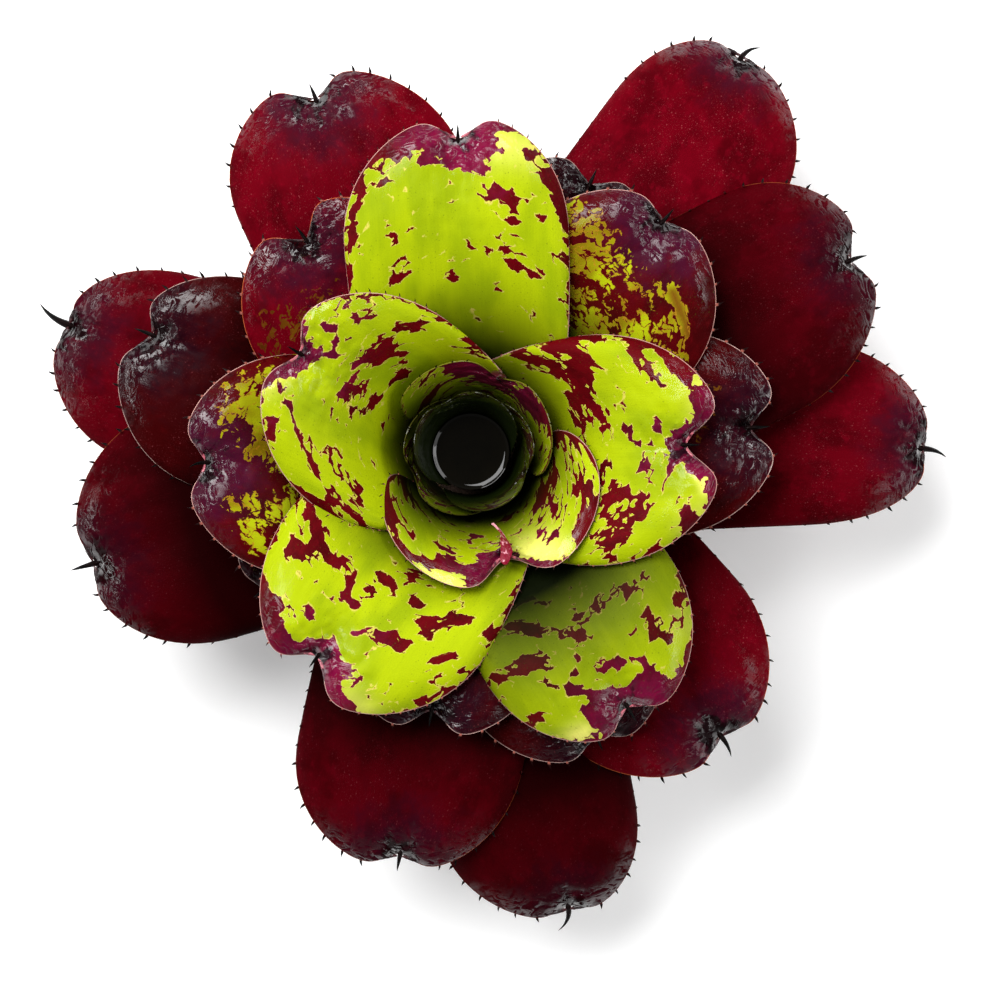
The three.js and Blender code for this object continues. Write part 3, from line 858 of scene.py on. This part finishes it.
def hornSkin(name, root, end, turning, shine=0.04, streaks=0.0):
    material, tree, shader = newMaterial(name)
    share = readAttribute(tree, "thorn")
    spot = placeOnPiece(tree)
    ripples = grain(tree, spot, 700.0, 3.0, 0.6)
    wander = times(tree, calculate(tree, "SUBTRACT", ripples, 0.5), streaks)
    share = calculate(tree, "ADD", share, wander)
    colour = blend(tree, ease(tree, share, turning - 0.15, turning + 0.15), root, end)
    tree.links.new(colour, shader.inputs["Base Color"])
    shader.inputs["Roughness"].default_value = 0.3
    shader.inputs["Specular IOR Level"].default_value = shine
    emboss(tree, shader, ripples, 0.0005, 0.6)
    return material


looks = {"tank": tankSkin, "lime": limeSkin, "mixed": mixedSkin, "dusk": duskSkin, "wine": wineSkin}
skins = {kind: leafSkin(f"{kind}Skin", look) for kind, look in looks.items()}
limeUnderside = leafUnderside("limeUnderside", underSkin["green"])
wineUnderside = leafUnderside("wineUnderside", underSkin["skin"])
hornLooks = {  # colour at the root, colour at the end, share where they meet, shine, streaks
    "paleThorn": ((0.26, 0.08, 0.06), (0.008, 0.002, 0.002), 0.3),
    "darkThorn": ((0.04, 0.004, 0.004), (0.002, 0.0015, 0.0015), 0.12),
    # dark thorns: painted shade deep in the tank
    "tankThorn": ((0.012, 0.012, 0.003), (0.003, 0.002, 0.001), 0.4),
    "pinkFold": ((0.045, 0.002, 0.008), (0.40, 0.09, 0.12), 0.62, 0.5, 1.6),
    "darkFold": ((0.010, 0.002, 0.003), (0.05, 0.012, 0.014), 0.8, 0.4, 1.0),
    # the flap's pale pink end is partly its own colour, partly a painted highlight
    "flapSkin": ((0.20, 0.001, 0.018), (0.70, 0.30, 0.36), 0.62, 0.3, 3.0),
    "clawSkin": ((0.005, 0.002, 0.002), (0.0015, 0.0015, 0.0015), 0.4),
}
hornSkins = {name: hornSkin(name, *look) for name, look in hornLooks.items()}

plainLook = {
    "marks": 1.2,  # above 1 the dark skin covers the leaf
    "rim": 0,  # more of it along the margin
    "cap": 8,  # and this far round the notch
    "capStrength": 0,
    "spots": [],
    "paleAndHighlightSpots": [],
    "paintedShade": (30, 70),  # painted shade: dark inside the first radius, clear outside the second
    # painted shade laid evenly over the whole leaf, added to the mask above
    "shade": 0,
    "bulge": 1.2,  # of the lobes beside the notch
    "recurve": 2.4,  # of the lip
    "lipWidth": 5,
    "knot": 10,  # degrees from the midrib where the dried folds start
}
tankLook = {"marks": 0.3, "rim": 0.2, "paintedShade": (16, 31), "recurve": 0, "bulge": 0}
greenLook = {
    "marks": 0.15, "rim": 0.33, "cap": 7, "capStrength": 0.9, "paintedShade": (20, 40),
    "bulge": 1.5, "recurve": 3.2, "lipWidth": 4,
}
leafLooks = {
    1: tankLook,
    2: tankLook,
    3: tankLook,
    4: dict(tankLook, cap=6, capStrength=0.8, spots=[(-6, 28, 9, 26, 3, 0.7), (17, 18, 24, 11, 2.5, 0.6)]),
    5: dict(greenLook, marks=0.32, paintedShade=(21, 39), recurve=4, lipWidth=5, cap=5,
            paleAndHighlightSpots=[(20, -33, 24, -32, 6, 1), (-16, -39, -3, -43, 2.5, 0.7)], spots=[
        (-27, -16, -24, -25, 1.2, 0.5), (-24, -30, -14, -36, 1.2, 0.5), (-14, -36.5, -2, -38, 1, 0.5),
        (-16, -40, -3, -43, 2, -0.3), (16, -32, 26, -33, 3, -0.35),
        (35, -18, 38, -12, 2.5, 0.33), (37, -25, 41, -18, 3, 0.44), (22, -18, 25, -11, 2.5, 0.3),
        (33, -14, 35, -7, 1.5, 0.3), (23, -26, 27, -19, 2.5, 0.3), (12, 19, 30, 4, 3, 0.3),
        (2, -41, 8, -37, 3.5, 1.1), (16, -36, 27, -37, 1.5, 1.3), (-10, -35, -5, -36, 1.5, 0.4)]),
    6: dict(greenLook, paintedShade=(20, 31), paleAndHighlightSpots=[(-64, 21, -60, 24, 4, 0.46)], spots=[
        (-59, 36, -57, 45, 4, 1), (-57, 45, -42, 55, 3.5, 0.59), (-38, 54, -28, 55, 2.5, 0.46),
        (-24, 52, -10, 46, 2.5, 0.53), (-1, 37, 5, 32, 2, 0.46), (-44, 39, -39, 46, 2.5, 0.46),
        (-36, 41, -31, 43, 2, 0.36), (-36, 28, -27, 34, 3.5, 0.49), (-23, 39, -16, 40, 2, 0.4),
        (-24, 25, -22, 30, 2.5, 0.4), (-39, 18, -35, 21, 2.5, 0.43), (-33, 12, -31, 17, 2, 0.33),
        (-53, 3, -48, -8, 2.5, 0.4), (-46, -1, -37, -13, 3, 0.46), (-45, -14, -36, -20, 2.5, 0.4),
        (-69, 17, -67, 4, 1.5, 0.46), (-62, 9, -64, -1, 2, 0.4), (-57, -12, -42, -23, 2.5, 0.46),
        (-67, 21, -57, 28, 3, 1)]),
    7: dict(greenLook, paintedShade=(22, 42), paleAndHighlightSpots=[
        (73, 19, 74, 14, 5, 0.46), (71, -4, 74, -12, 2, 1), (70, -24, 75, -20, 5, 0.33)], spots=[
        (22, 37, 42, 35, 2.5, 0.4), (50, 36, 67, 27, 2, 0.42), (27, 33, 36, 25, 4, 0.56),
        (36, 25, 36, 11, 4, 0.53), (48, 35, 60, 21, 2, 0.46), (16, 31, 28, 24, 2, 0.4),
        (65, 27, 67, 21, 2, 0.4), (43, 13, 44, 4, 2, 0.4), (50, 7, 52, 2, 2, 0.36),
        (59, 9, 59, 5, 1.5, 0.33), (54, -7, 59, -2, 2.2, 0.4), (41, -9, 44, -3, 2, 0.4),
        (43, -19, 47, -13, 3.5, 0.53),
        (43, -31, 54, -18, 4, 0.46), (67, -17, 69, -26, 2.5, 0.53), (57, -37, 72, -29, 3, 0.49),
        (74, 16, 81, 7, 4, 1), (71, 4, 73, -3, 4, 1), (77, -4, 79, -16, 3.5, 1)]),
    8: dict(greenLook, paintedShade=(26, 56), paleAndHighlightSpots=[(-38, -79, -34, -82, 5, 0.4)], spots=[
        (-56, -31, -40, -35, 3.2, 0.54), (-54, -16, -47, -26, 2.5, 0.48), (-67, -34, -62, -22, 2, 0.48),
        (-60, -50, -51, -52, 2.5, 0.43), (-41, -47, -37, -39, 2, 0.4), (-36, -48, -32, -44, 1.8, 0.36),
        (-31, -43, -18, -40, 3, 0.46), (-18, -48, -13, -57, 2.5, 0.46), (-13, -57, -2, -53, 2.5, 0.46),
        (-37, -57, -21, -61, 2, 0.49), (-13, -67, -6, -65, 1.5, 0.4), (-19, -73, -17, -71, 1.5, 0.33),
        (5, -58, 13, -53, 2.5, 0.53), (-17, -79, -12, -78, 1.5, 0.4), (-68, -49, -63, -64, 5, 1.1),
        (-63, -64, -53, -73, 6, 1.1), (-47, -69, -43, -83, 4.5, 1.1), (-43, -64, -37, -72, 1.5, 0.46)]),
    9: dict(greenLook, paintedShade=(26, 58), paleAndHighlightSpots=[
        (10, 96, 18, 95, 6, 0.46), (-25, 96, -20, 99, 3, 0.26)], spots=[
        (-28, 97, -7, 101, 5, 1.1), (-7, 101, 2, 96, 5, 1.1), (2, 103, 20, 103, 2.5, 1),
        (-15, 91, 5, 89, 2, 0.49), (-35, 84, -38, 64, 1.8, 0.53), (25, 86, 30, 71, 2, 0.53),
        (-6, 78, -5, 78, 2.5, 0.4), (9, 82, 14, 77, 2.5, 0.4), (13, 73, 15, 72, 2, 0.4),
        (22, 73, 23, 73, 2, 0.4), (-26, 70, -25, 67, 2.5, 0.46), (-36, 64, -35, 63, 2, 0.4),
        (-23, 60, -22, 60, 2, 0.4), (11, 63, 14, 58, 2, 0.4), (-6, 55, -5, 54, 2, 0.4),
        (8, 53, 8, 52, 2, 0.33)]),
    # leaf 10 lies under its neighbours: more painted shade
    10: dict(greenLook, marks=0.12, paintedShade=(38, 100), shade=0.1, paleAndHighlightSpots=[
        # the first of these, at the lip, is a painted highlight
        (34, -91, 36, -90, 4, 1), (67, -53, 69, -56, 4, 0.2)], spots=[
        (34, -53, 51, -43, 3, 0.55), (13, -56, 38, -59, 2.2, 0.45), (20, -48, 24, -49, 2, 0.4),
        (57, -59, 58, -53, 2.5, 0.53), (49, -59, 52, -57, 1.5, 0.4), (62, -59, 65, -55, 2.5, 0.53),
        (68, -33, 70, -38, 2, 0.53), (65, -49, 69, -40, 1.8, 0.53), (69, -64, 72, -62, 2, 0.53),
        (42, -68, 54, -66, 2.5, 0.43), (8, -72, 18, -67, 3, 0.5), (18, -67, 33, -70, 2, 0.42),
        (23, -73, 42, -78, 2, 0.42), (36, -82, 45, -76, 2, 0.53), (43, -84, 47, -92, 5, 1.1),
        (57, -76, 67, -79, 5, 1.1), (49, -79, 57, -76, 4, 1), (19, -84, 23, -84, 1.5, 0.4)]),
    11: dict(greenLook, marks=0.38, paintedShade=(38, 75), paleAndHighlightSpots=[
        (-84, 24, -76, 10, 5, 0.55), (-73, 24, -68, 0, 2, 0.2)], spots=[
        (-88, 17, -85, -1, 6, 1.2), (-88, -9, -85, -29, 6, 1.2), (-80, -6, -83, -8, 5, 1),
        (-82, 22, -76, 12, 3, -0.15), (-76, -5, -64, -13, 4.5, 0.53), (-72, 7, -72, 4, 2.5, 0.53),
        (-79, -24, -77, -35, 3, 0.59), (-72, -32, -68, -39, 2.5, 0.53), (-85, 26, -73, 30, 5, 0.56)]),
    12: dict(greenLook, marks=0.39, paintedShade=(40, 70), paleAndHighlightSpots=[(64, 50, 70, 36, 2, 0.9)], spots=[
        (43, 84, 63, 72, 7, 1), (63, 72, 78, 54, 11, 1.1), (78, 54, 73, 34, 5, 1),
        (64, 52, 69, 36, 1.2, -0.65), (50, 50, 58, 44, 4, 0.25)]),
    13: dict(paintedShade=(30, 80), shade=0.2),
    14: dict(paintedShade=(30, 55), paleAndHighlightSpots=[(-60, 36, -46, 46, 5, 0.25)], spots=[
        (-66, 41, -44, 54, 4, -0.64), (-65, 35, -46, 45, 4, -0.66), (-60, 30, -50, 34, 4, -0.5)]),
    15: dict(paintedShade=(30, 70), shade=0.1, spots=[(72, 5, 78, 20, 4, -0.8)]),
    16: dict(paintedShade=(30, 90), shade=0.5),
    17: dict(paintedShade=(30, 90), shade=0.5),
    18: dict(paintedShade=(30, 90), shade=0.4),
    19: dict(paintedShade=(40, 105), shade=0.35),
    20: dict(paintedShade=(50, 130), shade=0.5),
    21: dict(paintedShade=(50, 130), shade=0.45),
    22: dict(paintedShade=(40, 95)),
    23: dict(paintedShade=(50, 122), shade=0.05),
    24: dict(paintedShade=(50, 132), shade=0.55),
    25: dict(paintedShade=(50, 110)),
    26: dict(paintedShade=(60, 145), shade=0.65),
    27: dict(paintedShade=(50, 115), shade=0.3),
    28: dict(paintedShade=(60, 125), shade=0.15),
}


def skinOf(number):  # leaf 14 is as red as the outer ones
    kinds = [kind for kind, count in upTo.items() if number < count]
    return kinds[0] if kinds and number != 13 else "wine"


def dress(pieces, skin):
    for piece in pieces:
        piece.data.materials.append(skin)


draw = random.Random(7)
thornForm = hornPiece("thornForm", spines["sides"], spines["rings"], thornShape)
for number, shape in enumerate(leafShapes):
    leaf = {**shape, **plainLook, **leafLooks[number + 1]}
    kind = skinOf(number)
    piece = bladePiece(number, leaf)
    dress([piece], skins[kind])
    dress([piece], limeUnderside if number < upTo["lime"] else wineUnderside)
    thorns = plantSpines(number, leaf, thornForm, draw)
    thornSkin = "paleThorn" if number < spines["paleUpTo"] else "darkThorn"
    dress(thorns, hornSkins["tankThorn" if kind == "tank" else thornSkin])
    horns = []
    if kind != "tank":
        horns = [knotPiece(number, leaf, -1), knotPiece(number, leaf, 1)]
        dress(horns, hornSkins["pinkFold" if number < knots["pinkUpTo"] else "darkFold"])
    if number in flaps:
        horns.append(flapPiece(number, leaf))
        dress(horns[-1:], hornSkins[flaps[number]["skin"]])
    elif kind != "tank":
        horns.append(clawPiece(number, leaf))
        dress(horns[-1:], hornSkins["clawSkin"])
    bpy.ops.object.select_all(action="DESELECT")
    for part in [piece, *horns, *thorns]:
        part.select_set(True)
    bpy.context.view_layer.objects.active = piece
    bpy.ops.object.join()
    bpy.ops.object.shade_smooth_by_angle(angle=math.radians(40))
    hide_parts(f"leaf_{number + 1:02d}")
    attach(piece, "root")
bpy.data.objects.remove(thornForm)
print("leaves grown")

# Stem: the cone that the leaves clasp, with its cut face, and the water in the tank

stem = {
    "sides": 120,
    "rings": 110,
    "cut": 17,
    "waist": (18.5, 4),
    "gap": 1.0,  # from its skin to the middle of a leaf's foot
    "scarSpacing": 1.9,
    "scarDepth": 0.3,
    "fibreDepth": 0.35,
    "bark": (0.16, 0.085, 0.035),
    "barkDark": (0.035, 0.016, 0.008),
    "scurf": (0.36, 0.28, 0.17),
    "flesh": (0.55, 0.42, 0.22),
    "bundle": (0.16, 0.07, 0.02),
}
water = {
    "sides": 96,
    "rings": 64,
    "top": 72,
    "bottom": 57.8,
    "radius": 12.3,
    "meniscus": 0.9,
    "meniscusWidth": 0.7,
    "colour": (0.0016, 0.0014, 0.0008),
    "deep": (0.0008, 0.0008, 0.0006),
    "murk": (0.008, 0.006, 0.003),
}


def turnedPiece(name, sides, rings, profile, relief):  # profile runs from the axis below to the axis above
    piece = newSphere(name, sides, rings)
    profile = np.array(profile, float)
    lengths = lengthsAlong(profile)
    x, y, z = pointsOf(piece).T
    share = np.arccos(np.clip(-z, -1, 1)) / math.pi
    turn = np.arctan2(y, x)
    at = share * lengths[-1]
    radius = np.interp(at, lengths, profile[:, 0])
    height = np.interp(at, lengths, profile[:, 1])
    points = np.stack([radius * np.cos(turn), radius * np.sin(turn), height], -1)
    points, values = relief(points, turn, at)
    movePoints(piece, points)
    for key, value in values.items():
        keepValues(piece, key, value)
    bpy.ops.object.shade_smooth_by_angle(angle=math.radians(50))
    return piece


def stemProfile():
    depth = np.linspace(1, 0, 40)
    radius, height = fanPoint(depth, 0 * depth)
    side = [(r - stem["gap"], h) for r, h in zip(radius, height)]
    top = height[-1] - stem["gap"]
    side[-1] = (side[-1][0] - 0.6, top)
    return [(0, 0), (stem["cut"], 0), stem["waist"], *side, (0, top)]


def stemRelief(points, turn, at):
    cutFace = 1 - smooth(at, stem["cut"] - 0.4, stem["cut"] + 0.1)
    side = smooth(at, stem["cut"] + 0.2, stem["cut"] + 2.5) * (1 - smooth(points[:, 2], 55, 57))
    scars = np.abs(np.sin(math.pi * points[:, 2] / stem["scarSpacing"] + 0.6 * np.sin(3 * turn)))
    fibres = np.array([noise.fractal(Vector((math.cos(t) * 9, math.sin(t) * 9, z * 0.12)), 0.6, 2, 3)
                       for t, z in zip(turn, points[:, 2])])
    push = side * (-stem["scarDepth"] * (1 - scars) ** 3 + stem["fibreDepth"] * (fibres - 0.4))
    points[:, 0] += push * np.cos(turn)
    points[:, 1] += push * np.sin(turn)
    rough = np.array([noise.noise(Vector(p) * 0.9) for p in points])
    points[:, 2] += 0.25 * cutFace * np.clip(rough, 0, 1)
    return points, {"cutFace": cutFace, "scars": scars * side}


def stemSkin():
    material, tree, shader = newMaterial("stemSkin")
    spot = placeOnPiece(tree)
    spot = addNode(tree, "VectorMath", {0: spot, "Scale": 1000}, operation="SCALE")
    cutFace = readAttribute(tree, "cutFace")
    scars = readAttribute(tree, "scars")
    fibres = grain(tree, stretched(tree, spot, (1.2, 1.2, 0.12)), 1.0, 4.0, 0.6)
    blotches = grain(tree, spot, 0.12, 4.0, 0.6)
    bark = blend(tree, ease(tree, fibres, 0.35, 0.65), stem["barkDark"], stem["bark"])
    bark = blend(tree, ease(tree, blotches, 0.52, 0.62), bark, stem["scurf"])
    bark = blend(tree, ease(tree, scars, 0.35, 0.0), bark, stem["barkDark"])
    flesh = blend(tree, ease(tree, blotches, 0.4, 0.6), stem["flesh"], stem["scurf"])
    bundles = cells(tree, stretched(tree, spot, (1, 1, 0)), 0.75, "3D")
    flesh = blend(tree, ease(tree, bundles, 0.3, 0.16), flesh, stem["bundle"])
    ring = addNode(tree, "VectorMath", {0: spot}, output=1, operation="LENGTH")
    flesh = blend(tree, ease(tree, ring, 14.5, 16.6), flesh, stem["barkDark"])
    colour = blend(tree, cutFace, bark, flesh)
    tree.links.new(colour, shader.inputs["Base Color"])
    shader.inputs["Roughness"].default_value = 0.85
    height = calculate(tree, "MULTIPLY_ADD", bundles, 0.3, fibres)
    emboss(tree, shader, height, 0.0008, 0.9)
    return material


def waterProfile():
    low, top, edge = water["bottom"], water["top"], water["radius"]
    side = [(11, low), (11.6, low + 3), (edge, top - 3), (edge, top + water["meniscus"])]
    across = np.linspace(1, 0, 40) ** 1.6
    rise = water["meniscus"] * np.exp(-edge * (1 - across) / water["meniscusWidth"])
    surface = [(edge * r, top + lift) for r, lift in zip(across, rise)]
    return [(0, low), *side, *surface[1:]]


def waterRelief(points, turn, at):
    return points, {"depth": 1 - smooth(np.hypot(points[:, 0], points[:, 1]), 4, 12)}


def waterSkin():
    material, tree, shader = newMaterial("waterSkin")
    spot = placeOnPiece(tree)
    depth = readAttribute(tree, "depth")
    murk = grain(tree, spot, 160.0, 3.0)
    colour = blend(tree, depth, water["colour"], water["deep"])
    colour = blend(tree, times(tree, murk, 0.3), colour, water["murk"])
    tree.links.new(colour, shader.inputs["Base Color"])
    shader.inputs["Roughness"].default_value = 0.04
    shader.inputs["IOR"].default_value = 1.333
    ripple = grain(tree, spot, 90.0, 1.0)
    emboss(tree, shader, ripple, 0.0006, 0.25)
    return material


stemPiece = turnedPiece("stemCone", stem["sides"], stem["rings"], stemProfile(), stemRelief)
stemPiece.data.materials.append(stemSkin())
waterPiece = turnedPiece("tankWater", water["sides"], water["rings"], waterProfile(), waterRelief)
waterPiece.data.materials.append(waterSkin())
for piece, node, slot in ((stemPiece, "stem", "stem"), (waterPiece, "water", "water")):
    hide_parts(node)
    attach(piece, "root")
print("stem and water made")
